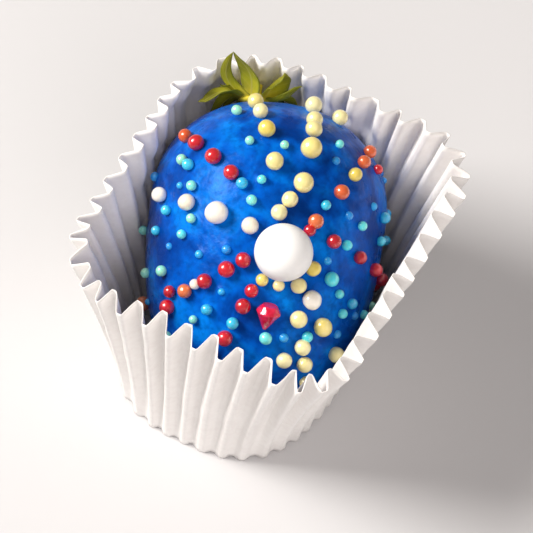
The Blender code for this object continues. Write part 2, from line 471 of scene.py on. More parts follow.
@dataclass(frozen=True)
class StrawberryLeaf:
    """A fresh strawberry sepal: yellow at its root, olive at its rim and tip, with pale veins."""

    name: str = "strawberry_sepal"
    root: str = "#F0DE44"
    blade: str = "#C4C326"
    tip: str = "#9A9A24"
    rim: str = "#7C8420"
    rib: str = "#E2DA7C"
    vein_pitch_share: float = 0.085

    def material(self) -> bpy.types.Material:
        """Builds the material on the sepal's map: U runs across it and V from root to tip.

        Returns:
            The material.
        """
        material, add = blank_material(self.name)
        spread = add("UVMap", uv_map="sepal").outputs["UV"]
        axes = add("SeparateXYZ", {"Vector": spread})
        place = add("TexCoord").outputs["Object"]
        blotch = add("TexNoise", {"Vector": place, "Scale": grain(2.2), "Detail": 4.0})
        along = add("Math", {0: blotch, 1: 0.5, 2: axes.outputs["Y"]}, operation="MULTIPLY_ADD")
        greens = add("ValToRGB", {"Fac": along})
        set_stops(greens, [(0.25, self.root), (0.62, self.blade), (1.0, self.tip)])
        centred = add("Math", {0: axes.outputs["X"], 1: 0.5}, operation="SUBTRACT")
        aside = add("Math", {0: centred}, operation="ABSOLUTE")
        rim = add(
            "MapRange",
            {"Value": aside, "From Min": 0.34, "From Max": 0.5, "To Max": 0.75},
            interpolation_type="SMOOTHSTEP",
        )
        edged = add("Mix", {"Factor": rim, 6: greens, 7: linear(self.rim)}, data_type="RGBA")
        slanted = add("Math", {0: aside, 1: -0.55, 2: axes.outputs["Y"]}, operation="MULTIPLY_ADD")
        veins = add("Math", {0: slanted, 1: self.vein_pitch_share}, operation="PINGPONG")
        vein_line = add("MapRange", {"Value": veins, "From Min": 0.022, "From Max": 0.0, "To Max": 0.18})
        rib_line = add("MapRange", {"Value": aside, "From Min": 0.07, "From Max": 0.0, "To Max": 0.5})
        lines = add("Math", {0: vein_line, 1: rib_line}, operation="MAXIMUM")
        veined = add("Mix", {"Factor": lines, 6: edged.outputs[2], 7: linear(self.rib)}, data_type="RGBA")
        raised = add("Bump", {"Height": lines, "Strength": 0.5, "Distance": 0.12 * MM})
        nap = add("TexNoise", {"Vector": place, "Scale": grain(0.3), "Detail": 2.0})
        skin = add("Bump", {"Height": nap, "Normal": raised, "Strength": 0.4, "Distance": 0.05 * MM})
        shader = add(
            "BsdfPrincipled",
            {
                "Base Color": veined.outputs[2],
                "Roughness": 0.5,
                "IOR": 1.42,
                "Specular IOR Level": 0.3,
                "Sheen Weight": 0.04,
                "Normal": skin,
            },
        )
        through = add("BsdfTranslucent", {"Color": veined.outputs[2]})
        both = add("MixShader", {0: 0.22, 1: shader, 2: through})
        add("OutputMaterial", {"Surface": both})
        return material


@dataclass(frozen=True)
class GreaseproofPaper:
    """White greaseproof paper, pressed hot between fluted dies: matt, thin and a little see-through."""

    name: str = "white_greaseproof_paper"
    white: str = "#FCFAF8"
    shade: str = "#F7F4F2"
    see_through: float = 0.06

    def material(self) -> bpy.types.Material:
        """Builds the material: cloudy pulp with fine fibres.

        Returns:
            The material.
        """
        material, add = blank_material(self.name)
        place = add("TexCoord").outputs["Object"]
        pulp = add("TexNoise", {"Vector": place, "Scale": grain(1.1), "Detail": 5.0})
        whites = add("ValToRGB", {"Fac": pulp})
        set_stops(whites, [(0.3, self.shade), (0.62, self.white)])
        fibre = add(
            "TexNoise",
            {"Vector": place, "Scale": grain(0.32), "Detail": 4.0, "Roughness": 0.7, "Distortion": 1.2},
        )
        rough = add("Bump", {"Height": fibre, "Strength": 0.3, "Distance": 0.04 * MM})
        shader = add(
            "BsdfPrincipled",
            {"Base Color": whites, "Roughness": 0.62, "IOR": 1.45, "Sheen Weight": 0.08, "Normal": rough},
        )
        through = add("BsdfTranslucent", {"Color": whites, "Normal": rough})
        both = add("MixShader", {0: self.see_through, 1: shader, 2: through})
        add("OutputMaterial", {"Surface": both})
        return material


@dataclass(frozen=True)
class StudioCard:
    """Matt white card, the studio's table top."""

    name: str = "matt_white_card"
    colour: str = "#D0D0D2"

    def material(self) -> bpy.types.Material:
        """Builds the material: plain matt white.

        Returns:
            The material.
        """
        material, add = blank_material(self.name)
        shader = add("BsdfPrincipled", {"Base Color": linear(self.colour), "Roughness": 0.9})
        add("OutputMaterial", {"Surface": shader})
        return material


# ===== The berry's shape and what lies on it =====


@dataclass
class BerryShape:
    """The coated berry as a turned body: two rounded halves that meet at the widest place.

    Its own axes are +X to the right, -Y up and +Z to the crown. tilt raises the crown, and turn
    swings the tip towards +X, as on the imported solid.
    """

    radius: float = 18.2 * MM
    crown_length: float = 17.2 * MM
    tip_length: float = 33.0 * MM
    crown_fullness: float = 2.15
    tip_fullness: float = 2.25
    hollow_radius: float = 7.0 * MM
    hollow_depth: float = 1.2 * MM
    tilt: float = math.radians(26)
    turn: float = math.radians(21)
    samples_round: int = 180
    samples_along: int = 120
    place: Matrix = field(init=False)

    def __post_init__(self) -> None:
        """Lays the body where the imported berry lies."""
        turned = Matrix.Rotation(self.turn, 4, "Z") @ Matrix.Rotation(self.tilt - math.pi / 2, 4, "X")
        angles = np.linspace(0, TURN, self.samples_round, endpoint=False)
        rings = [
            np.column_stack(
                [
                    np.cos(angles) * math.sin(v),
                    np.sin(angles) * math.sin(v),
                    np.full(self.samples_round, math.cos(v)),
                ]
            )
            for v in np.linspace(0, math.pi, self.samples_along)
        ]
        shell = self.outline(np.concatenate(rings)) @ np.array(turned.to_3x3()).T
        low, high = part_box("coated_berry")
        middle = (low + high) / 2 - Vector((shell.min(0) + shell.max(0)) / 2)
        self.place = Matrix.Translation(middle) @ turned

    def halves(self, height: np.ndarray) -> tuple[np.ndarray, np.ndarray]:
        """Picks the length and fullness of the half that each height lies in.

        Args:
            height: Heights above the widest place, towards the crown.

        Returns:
            The half's length and its fullness, for each height.
        """
        crown = height > 0
        length = np.where(crown, self.crown_length, self.tip_length)
        return length, np.where(crown, self.crown_fullness, self.tip_fullness)

    def outline(self, directions: np.ndarray) -> np.ndarray:
        """Carries directions out from the middle of the body to its surface.

        Args:
            directions: One unit row for each point, on the body's own axes.

        Returns:
            One point of the surface for each direction, on the same axes.
        """
        aside = np.hypot(directions[:, 0], directions[:, 1])
        length, fullness = self.halves(directions[:, 2])
        reach = (aside / self.radius) ** fullness + (np.abs(directions[:, 2]) / length) ** fullness
        points = directions * (reach ** (-1 / fullness))[:, None]
        radius = np.hypot(points[:, 0], points[:, 1])
        dip = np.clip(1 - (radius / self.hollow_radius) ** 2, 0, None) ** 2 * self.hollow_depth
        points[:, 2] -= np.where(directions[:, 2] > 0, dip, 0)
        return points

    def outside(self, points: np.ndarray) -> np.ndarray:
        """Tells which side of the surface points lie on, leaving the crown's hollow out of account.

        Args:
            points: Coordinates in the last axis, on the body's own axes.

        Returns:
            A number for each point, above 0 outside the body and below 0 inside it.
        """
        length, fullness = self.halves(points[..., 2])
        aside = np.hypot(points[..., 0], points[..., 1])
        return (aside / self.radius) ** fullness + (np.abs(points[..., 2]) / length) ** fullness - 1

    def normal(self, point: Vector) -> Vector:
        """Finds the outward direction at a point of the surface.

        Args:
            point: The point, on the body's own axes.

        Returns:
            The unit direction, on the same axes.
        """
        step = 0.01 * MM * np.eye(3)
        middle = np.array(point)
        return Vector(self.outside(middle + step) - self.outside(middle - step)).normalized()


@dataclass
class PolarField:
    """Bearings and distances on the berry, measured from the foot of the large sugar ball.

    A bearing of 0 runs to the crown, and 90 to the right as the ball is looked at with the crown up.
    """

    shape: BerryShape
    steps_inward: int = 12
    halvings: int = 30
    steepest_dip: float = math.radians(100)
    foot: Vector = field(init=False)
    away: Vector = field(init=False)
    ahead: Vector = field(init=False)

    def __post_init__(self) -> None:
        """Finds the ball's foot on the coat."""
        low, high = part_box("sugar_ball")
        inward = self.shape.place.inverted() @ ((low + high) / 2)
        for _ in range(self.steps_inward):
            inward -= self.shape.normal(inward) * float(
                self.shape.outside(np.array(inward))
            ) * self.shape.radius / 2
        self.foot = inward
        self.away = self.shape.normal(inward)
        self.ahead = (UP - UP.dot(self.away) * self.away).normalized()

    def at(self, bearing: float, distance: float) -> Vector:
        """Finds the surface point at a bearing and a straight distance from the foot.

        Args:
            bearing: Degrees from the crown's direction.
            distance: Metres from the foot.

        Returns:
            The point, on the berry's own axes.
        """
        right = self.ahead.cross(self.away)
        turned = math.radians(bearing)
        heading = math.cos(turned) * self.ahead + math.sin(turned) * right
        low, high = 0.0, self.steepest_dip
        for _ in range(self.halvings):
            dip = (low + high) / 2
            point = self.foot + distance * (math.cos(dip) * heading - math.sin(dip) * self.away)
            if self.shape.outside(np.array(point)) > 0:
                low = dip
            else:
                high = dip
        return point


@dataclass
class CaseShape:
    """The case's wall before it is fluted: an oval base that flares to a rounded rectangle.

    The corner radii run anticlockwise from the corner at +X and +Y. Where the berry or its leaves
    lean on the wall, the paper bulges to keep wall_room off them. The leaves count as a dome.
    """

    berry: BerryShape
    height: float = 36.5 * MM
    base_middle: tuple[float, float] = (-2.5 * MM, -0.3 * MM)
    base_halves: tuple[float, float] = (17.0 * MM, 22.1 * MM)
    base_squareness: float = 2.8
    corner_radii: tuple[float, float, float, float] = (11.0 * MM, 16.5 * MM, 12.5 * MM, 8.5 * MM)
    flare: float = 1.2
    wall_room: float = 1.5 * MM
    leaf_dome_middle: tuple[float, float, float] = (-4.0 * MM, 0.0, 12.0 * MM)
    leaf_dome_halves: tuple[float, float, float] = (11.6 * MM, 11.6 * MM, 8.0 * MM)
    search_from: float = -4.0 * MM
    search_to: float = 6.0 * MM
    search_step: float = 0.2 * MM
    corner_points: int = 40
    ring_points: int = 181
    share_step: float = 0.001
    loop: np.ndarray = field(init=False)
    walked: np.ndarray = field(init=False)

    def __post_init__(self) -> None:
        """Takes the mouth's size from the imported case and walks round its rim."""
        low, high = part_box("paper_case")
        half_x, half_y = (high.x - low.x) / 2, (high.y - low.y) / 2
        quarter = np.linspace(0, math.pi / 2, self.corner_points)
        signs = ((1, 1), (-1, 1), (-1, -1), (1, -1))
        corners = [
            np.column_stack(
                [
                    side_x * (half_x - radius) + radius * np.cos(quarter + turn * math.pi / 2),
                    side_y * (half_y - radius) + radius * np.sin(quarter + turn * math.pi / 2),
                ]
            )
            for turn, ((side_x, side_y), radius) in enumerate(zip(signs, self.corner_radii))
        ]
        start = np.array([[half_x, 0.0]])
        self.loop = np.concatenate([start, *corners, start])
        steps = np.hypot(*np.diff(self.loop, axis=0).T)
        self.walked = np.concatenate([[0.0], np.cumsum(steps)]) / steps.sum()

    def outline(self, shares: np.ndarray, level: float) -> np.ndarray:
        """Finds points of the wall before it bulges.

        Args:
            shares: How far round each point is, from 0 to 1, starting at +X.
            level: Height, from 0 at the base to 1 at the mouth.

        Returns:
            One row of X and Y for each share.
        """
        mouth = np.column_stack([np.interp(shares % 1, self.walked, self.loop[:, i]) for i in (0, 1)])
        angles = TURN * shares
        ways = np.column_stack([np.cos(angles), np.sin(angles)])
        reach = (np.abs(ways / self.base_halves) ** self.base_squareness).sum(1)
        base = np.array(self.base_middle) + ways * reach[:, None] ** (-1 / self.base_squareness)
        return base + (mouth - base) * level**self.flare

    def room(self, feet: np.ndarray, outward: np.ndarray) -> np.ndarray:
        """Measures how far inwards of the wall the berry and its leaves lie.

        Args:
            feet: One point of the wall in each row.
            outward: The wall's level outward direction at each of them.

        Returns:
            The distance for each point, below 0 where the berry reaches through the wall.
        """
        ways = np.arange(self.search_from, self.search_to, self.search_step)
        inverse = np.array(self.berry.place.inverted())
        points = feet[:, None] - outward[:, None] * ways[:, None]
        points = points @ inverse[:3, :3].T + inverse[:3, 3]
        dome = (points - self.leaf_dome_middle) / self.leaf_dome_halves
        beside = np.minimum(self.berry.outside(points), np.linalg.norm(dome, axis=2) - 1)
        first = np.argmax(beside < 0, axis=1)
        rows = np.arange(len(feet))
        after, before = beside[rows, first], beside[rows, first - 1]
        found = ways[first] - self.search_step * after / (after - before)
        return np.where((beside < 0).any(1), found, self.search_to)

    def wall(self, shares: np.ndarray, level: float) -> tuple[np.ndarray, np.ndarray, np.ndarray]:
        """Finds the wall at one height, with its bulges.

        Args:
            shares: How far round each point is, from 0 to 1.
            level: Height, from 0 at the base to 1 at the mouth.

        Returns:
            The points, the outward directions and the room to the berry, one row for each share.
        """
        along = self.outline(shares + self.share_step, level) - self.outline(shares - self.share_step, level)
        along /= np.hypot(*along.T)[:, None]
        outward = np.column_stack([along[:, 1], -along[:, 0], np.zeros(len(shares))])
        feet = np.column_stack([self.outline(shares, level), np.full(len(shares), self.height * level)])
        room = self.room(feet, outward)
        bulge = np.clip(self.wall_room - room, 0, None)
        return feet + outward * bulge[:, None], outward, room + bulge

    def distance(self, point: Vector) -> float:
        """Measures how far a point is from the wall at its own height.

        Args:
            point: A place inside the case, or above its mouth.

        Returns:
            The distance in metres, or one metre for a point above the mouth.
        """
        if point.z > self.height:
            return 1.0
        ring, _, _ = self.wall(np.linspace(0, 1, self.ring_points), point.z / self.height)
        return float(np.hypot(*(ring[:, :2] - np.array(point.xy)).T).min())


class PearlKind(Enum):
    """The colours of sugar pearl on the coat."""

    WHITE = "white"
    GOLD = "gold"
    RED = "red"
    ORANGE = "orange"
    TURQUOISE = "turquoise"
    BLUE = "blue"


@dataclass(frozen=True)
class PearlRow:
    """A straight row of pearls that runs out past the large ball.

    Attributes:
        kind: The row's colour.
        bearing: Where the row heads, in degrees from the crown's direction.
        aside_mm: How far to the right of the ball's middle the row passes.
        pearls_mm: Distance from the ball's foot and diameter of each pearl.
    """

    kind: PearlKind
    bearing: float
    aside_mm: float
    pearls_mm: tuple[tuple[float, float], ...]

    def places(self) -> list[tuple[float, float, float]]:
        """Returns the bearing, distance and diameter of each pearl, the lengths in millimetres."""
        return [
            (self.bearing + math.degrees(math.asin(self.aside_mm / away)), away, size)
            for away, size in self.pearls_mm
        ]


@dataclass(frozen=True)
class Pearl:
    """One pearl: its middle, the coat's outward direction under it, its diameter and its middle's height."""

    kind: PearlKind
    middle: Vector
    outward: Vector
    size: float
    lift: float


WHITE, GOLD, RED = PearlKind.WHITE, PearlKind.GOLD, PearlKind.RED
ORANGE, TURQUOISE, BLUE = PearlKind.ORANGE, PearlKind.TURQUOISE, PearlKind.BLUE

ROWS = (
    PearlRow(WHITE, -74, 2.0, ((6.0, 2.7), (11.0, 3.6), (16.2, 2.6), (22.0, 2.4), (29.6, 2.4))),
    PearlRow(GOLD, 31.5, -4.0, ((6.1, 2.5), (8.2, 2.5), (11.1, 3.1))),
    PearlRow(GOLD, 8, 0.5, ((16.5, 3.3), (20.0, 2.6), (21.9, 2.6), (25.9, 2.7))),
    PearlRow(GOLD, -16, 1.35, ((13.7, 2.8), (19.0, 2.7), (22.6, 2.4), (25.2, 2.5))),
    PearlRow(GOLD, 20, 0, ((26.1, 2.5),)),
    PearlRow(RED, -50, 3.1, ((14.1, 2.4), (17.8, 2.5), (21.7, 2.5))),
    PearlRow(ORANGE, -50, 3.1, ((24.6, 2.2),)),
    PearlRow(RED, 44, 0, ((5.6, 1.9), (23.5, 1.6))),
    PearlRow(ORANGE, 35, 0.6, ((7.2, 2.4), (13.4, 2.4), (20.7, 2.1), (24.1, 2.1))),
    PearlRow(GOLD, 37, 0, ((17.4, 2.2),)),
    PearlRow(RED, 107, -5.2, ((8.5, 2.3), (13.5, 2.1), (18.2, 2.2), (23.0, 2.2), (27.4, 2.3))),
    PearlRow(RED, -128, 1.8, ((5.5, 2.4), (8.2, 2.5), (11.9, 2.4))),
    PearlRow(RED, -118.5, 0, ((18.2, 1.9),)),
    PearlRow(RED, -125.5, 0, ((19.5, 2.3),)),
    PearlRow(WHITE, -119, 0, ((13.6, 1.7),)),
    PearlRow(ORANGE, -121, 0, ((15.5, 2.2), (27.2, 2.3))),
    PearlRow(RED, -161, 1.2, ((7.0, 2.1), (9.6, 2.4), (15.1, 2.4), (20.3, 2.3), (25.5, 2.4))),
    PearlRow(GOLD, -154, 0, ((4.8, 2.0),)),
    PearlRow(GOLD, 175, 0, ((4.8, 1.8),)),
    PearlRow(GOLD, 107, 0, ((5.4, 2.4),)),
    PearlRow(WHITE, 138, 0, ((8.4, 3.0),)),
    PearlRow(GOLD, 140, 0.3, ((5.5, 2.5), (13.0, 2.9), (18.7, 2.5), (23.6, 2.6), (28.6, 2.5))),
    PearlRow(GOLD, 161, -0.8, ((10.2, 2.8), (14.6, 2.5), (17.4, 2.5), (20.6, 2.0), (26.0, 2.6))),
    PearlRow(GOLD, 169, 0, ((16.1, 2.5),)),
)

# Tiny turquoise pearls lie loose between the rows: the distances in millimetres at each bearing.
LOOSE_TINY = {
    -175: (21.5, 27.0),
    -155: (12.6, 18.2, 23.2),
    -137: (13.8, 16.6, 22.4),
    -107: (19.2, 24.0),
    -86: (15.5, 21.1, 27.2),
    -75: (14.6, 19.7),
    -58: (17.2,),
    -51: (20.0, 21.6),
    -35: (9.0, 11.9),
    -21: (11.4, 17.8, 24.2),
    -4: (16.5,),
    23: (20.1,),
    36: (10.2,),
    64: (14.6, 21.0),
    75: (10.9, 19.6, 26.0),
    108: (8.9, 22.0),
    115: (11.6, 14.8, 19.2),
    124: (14.2, 25.5),
    153: (13.4, 23.4),
    -179: (12.9,),
}

# The diameter in millimetres of the loose pearls that are larger, by bearing and distance.
LOOSE_LARGER = {(108, 8.9): 2.3, (-179, 12.9): 2.0, (-155, 12.6): 1.9}


@dataclass
class Decoration:
    """The pearls' places on the coat: the rows, the loose tiny ones, and strewn ones that sank in."""

    berry: BerryShape
    polar: PolarField
    case: CaseShape
    sunk_share: float = 0.14
    strewn_sunk_share: float = 0.34
    strewn_count: int = 30
    tries_each: int = 40
    strewn_reach_mm: tuple[float, float] = (7.0, 34.0)
    strewn_mm: tuple[float, float] = (1.1, 1.6)
    strewn_gap_mm: float = 2.7
    gem_bearing: float = -177.0
    gem_away: float = 8.9 * MM
    tiny_mm: tuple[float, float] = (1.35, 1.85)
    paper_gap: float = 0.7 * MM
    seed: int = 7
    pearls: list[Pearl] = field(default_factory=list)
    gem_spot: Vector = field(init=False)

    def __post_init__(self) -> None:
        """Places the gem, and every pearl that clears the paper."""
        random = np.random.default_rng(self.seed)
        self.gem_spot = self.polar.at(self.gem_bearing, self.gem_away)
        for row in ROWS:
            for bearing, away, size in row.places():
                self.set_pearl(row.kind, bearing, away, size)
        for bearing, distances in LOOSE_TINY.items():
            for away in distances:
                tiny = random.uniform(*self.tiny_mm)
                self.set_pearl(TURQUOISE, bearing, away, LOOSE_LARGER.get((bearing, away), tiny))
        self.strew(random)

    def strew(self, random: np.random.Generator) -> None:
        """Scatters tiny blue pearls that the coat half covers, away from all the others.

        Args:
            random: Draws their places and sizes.
        """
        for _ in range(self.tries_each * self.strewn_count):
            if sum(pearl.kind is BLUE for pearl in self.pearls) == self.strewn_count:
                break
            bearing, away_mm = random.uniform(-180, 180), random.uniform(*self.strewn_reach_mm)
            size_mm = random.uniform(*self.strewn_mm)
            spot = self.berry.place @ self.polar.at(bearing, away_mm * MM)
            others = [pearl.middle for pearl in self.pearls] + [self.berry.place @ self.gem_spot]
            if min((spot - other).length for other in others) > self.strewn_gap_mm * MM:
                self.set_pearl(BLUE, bearing, away_mm, size_mm)

    def set_pearl(self, kind: PearlKind, bearing: float, away_mm: float, size_mm: float) -> None:
        """Presses one pearl into the coat, unless the paper is in its way.

        Args:
            kind: The pearl's colour.
            bearing: Degrees from the crown's direction.
            away_mm: Distance from the ball's foot.
            size_mm: Diameter.
        """
        point = self.polar.at(bearing, away_mm * MM)
        outward = self.berry.normal(point)
        lift = size_mm * MM * (0.5 - (self.strewn_sunk_share if kind is BLUE else self.sunk_share))
        middle = self.berry.place @ (point + outward * lift)
        if self.case.distance(middle) < size_mm * MM / 2 + self.paper_gap:
            log.info(
                "%s pearl at %d degrees, %.1f mm left out: the paper is there", kind.value, bearing, away_mm
            )
            return
        outward = self.berry.place.to_3x3() @ outward
        self.pearls.append(Pearl(kind, middle, outward, size_mm * MM, lift))


# ===== Pieces =====


def round_mesh(name: str, grid: int) -> tuple[bpy.types.Mesh, np.ndarray]:
    """Makes a ball of even quads by blowing up a cube.

    Args:
        name: The mesh's name.
        grid: Squares along each edge of the cube.

    Returns:
        The mesh, and the unit direction of each of its vertices.
    """
    bm = bmesh.new()
    bmesh.ops.create_cube(bm, size=2)
    bmesh.ops.subdivide_edges(bm, edges=bm.edges[:], cuts=grid - 1, use_grid_fill=True)
    mesh = bpy.data.meshes.new(name)
    bm.to_mesh(mesh)
    bm.free()
    spread = np.tan(vertex_array(mesh) * math.pi / 4)
    return mesh, spread / np.linalg.norm(spread, axis=1)[:, None]


def hand_in(piece: bpy.types.Object, node: str | None = None) -> None:
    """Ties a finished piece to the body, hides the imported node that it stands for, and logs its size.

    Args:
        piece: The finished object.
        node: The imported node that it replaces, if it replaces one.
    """
    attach(piece, BODY)
    if node:
        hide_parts(node)
    faces = sum(len(p.vertices) - 2 for p in piece.data.polygons)
    size = [round(v / MM, 1) for v in piece.dimensions]
    log.info("%s: %d triangles, %s mm", piece.name, faces, size)


@dataclass
class ChocolateCoat:
    """The dipped coat: a turned body with soft lumps, flow marks and collars round what was set in it."""

    shape: BerryShape
    polar: PolarField
    pearls: list[Pearl]
    finish: SetChocolate = SetChocolate()
    grid: int = 124
    lump_mm: float = 13.0
    lump_height: float = 0.24 * MM
    ripple_mm: tuple[float, float, float] = (4.5, 4.5, 15.0)
    ripple_height: float = 0.08 * MM
    dimple_mm: float = 2.6
    dimple_height: float = 0.055 * MM
    collar_height: float = 0.15 * MM
    collar_reach: float = 0.4 * MM
    ball_collar_height: float = 0.35 * MM
    ball_collar_reach: float = 0.7 * MM
    seed: int = 11

    def collar(
        self, points: np.ndarray, centre: Vector, radius: float, height: float, reach: float
    ) -> np.ndarray:
        """Raises the coat round a ball that was pressed into it.

        Args:
            points: The coat's points.
            centre: The middle of the ring where ball and coat meet.
            radius: The ring's radius.
            height: How far the coat climbs at the ring.
            reach: How fast it sinks away from the ring.

        Returns:
            The rise at each point.
        """
        away = np.linalg.norm(points - np.array(centre), axis=1)
        return height * np.exp(-np.clip(away - radius, 0, None) / reach)

    def build(self) -> bpy.types.Object:
        """Builds and dresses the coat.

        Returns:
            The piece.
        """
        mesh, directions = round_mesh("chocolate_coat", self.grid)
        points = self.shape.outline(directions)
        mesh.vertices.foreach_set("co", points.ravel())
        mesh.update()
        normals = vertex_array(mesh, "normal")
        rise = self.lump_height * noise_field(points, [self.lump_mm] * 3, self.seed)
        rise += self.ripple_height * noise_field(points, self.ripple_mm, self.seed + 1)
        rise += self.dimple_height * noise_field(points, [self.dimple_mm] * 3, self.seed + 2)
        inverse = self.shape.place.inverted()
        collars = np.zeros(len(points))
        for pearl in self.pearls:
            middle = inverse @ pearl.middle
            outward = inverse.to_3x3() @ pearl.outward
            ring = math.sqrt((pearl.size / 2) ** 2 - pearl.lift**2)
            centre = middle - outward * pearl.lift
            collars = np.maximum(
                collars, self.collar(points, centre, ring, self.collar_height, self.collar_reach)
            )
        low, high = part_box("sugar_ball")
        ball = inverse @ ((low + high) / 2)
        lift = (ball - self.polar.foot).length
        ring = math.sqrt(((high.x - low.x) / 2) ** 2 - lift**2)
        ball_collar = self.collar(
            points, self.polar.foot, ring, self.ball_collar_height, self.ball_collar_reach
        )
        rise += np.maximum(collars, ball_collar)
        points = points + normals * rise[:, None]
        placed = points @ np.array(self.shape.place.to_3x3()).T + np.array(self.shape.place.translation)
        return dress_mesh(mesh, placed, self.finish.material())


@dataclass
class SugarBall:
    """The large white sugar ball: panned smooth, with faint lumps and a slightly long axis."""

    grid: int = 56
    lump_mm: float = 3.4
    lump_height: float = 0.035 * MM
    long_axis: float = 1.012
    tone: float = 0.3
    seed: int = 3
    finish: PearledSugar = PearledSugar(
        "white_panned_sugar", "#FEFEFC", "#F6F8FA", metallic=0.0, roughness=0.42, clear=0.15
    )

    def build(self) -> bpy.types.Object:
        """Builds and dresses the ball.

        Returns:
            The piece.
        """
        low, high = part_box("sugar_ball")
        radius = (high.x - low.x) / 2
        mesh, directions = round_mesh("large_sugar_ball", self.grid)
        lumps = noise_field(directions * radius, [self.lump_mm] * 3, self.seed)
        points = directions * (radius + self.lump_height * lumps)[:, None]
        points *= np.array([self.long_axis, 1.0, 1 / self.long_axis])
        points += np.array((low + high) / 2)
        write_floats(mesh, "tone", np.full(len(points), self.tone))
        return dress_mesh(mesh, points, self.finish.material())


class PearlBed:
    """Sets the pearls of one kind on their places with Geometry Nodes.

    Attributes:
        lump_height: How high the lumps stand, as a share of the pearl's diameter.
        lump_scale: Lumps across a pearl.
        stretch: The least and the greatest of a pearl's three axes, as shares of its diameter.
    """

    lump_height: float = 0.05
    lump_scale: float = 2.2
    stretch: tuple[float, float] = (0.96, 1.03)

    def __init__(self) -> None:
        """Builds the tree: a lumpy ball on each point, scaled and turned by the point's own values."""
        tree = GeometryTree(
            "pearls_on_points",
            {
                "Subdivisions": "NodeSocketInt",
                "Lump height": "NodeSocketFloat",
                "Lump scale": "NodeSocketFloat",
                "Seed": "NodeSocketFloat",
                "Material": "NodeSocketMaterial",
            },
        )
        given = tree.given
        ball = tree.add("GeometryNodeMeshIcoSphere", {"Radius": 0.5, "Subdivisions": given["Subdivisions"]})
        lumps = tree.add(
            "TexNoise",
            {"Scale": given["Lump scale"], "W": given["Seed"], "Detail": 1.0},
            noise_dimensions="4D",
        )
        centred = tree.add("Math", {0: lumps, 1: 0.5}, operation="SUBTRACT")
        height = tree.add("Math", {0: centred, 1: given["Lump height"]}, operation="MULTIPLY")
        normal = tree.add("GeometryNodeInputNormal")
        offset = tree.add("VectorMath", {0: normal, "Scale": height}, operation="SCALE")
        lumpy = tree.add("GeometryNodeSetPosition", {"Geometry": ball.outputs["Mesh"], "Offset": offset})
        axes = tree.add("GeometryNodeInputNamedAttribute", {"Name": "axes"}, data_type="FLOAT_VECTOR")
        turn = tree.add("GeometryNodeInputNamedAttribute", {"Name": "turn"}, data_type="FLOAT_VECTOR")
        placed = tree.add(
            "GeometryNodeInstanceOnPoints",
            {"Points": given["Geometry"], "Instance": lumpy, "Rotation": turn, "Scale": axes},
        )
        tree.end(placed.outputs[0])
        self.tree = tree

    def build(
        self, name: str, pearls: list[Pearl], finish: PearledSugar, subdivisions: int, seed: int
    ) -> bpy.types.Object:
        """Builds and dresses the pearls of one kind.

        Args:
            name: The piece's name.
            pearls: The pearls of this kind.
            finish: Their finish.
            subdivisions: How fine each pearl is.
            seed: Fixes the small differences between them.

        Returns:
            The piece.
        """
        random = np.random.default_rng(seed)
        material = finish.material()
        piece = new_piece(name, np.array([pearl.middle for pearl in pearls]), [], material)
        count = len(pearls)
        sizes = np.array([pearl.size for pearl in pearls])
        axes = sizes[:, None] * random.uniform(*self.stretch, (count, 3))
        write_floats(piece.data, "axes", axes)
        write_floats(piece.data, "turn", random.uniform(-math.pi, math.pi, (count, 3)))
        write_floats(piece.data, "tone", random.uniform(0, 1, count))
        self.tree.run(
            piece,
            {
                "Subdivisions": subdivisions,
                "Lump height": self.lump_height,
                "Lump scale": self.lump_scale,
                "Seed": float(seed),
                "Material": material,
            },
        )
        return piece


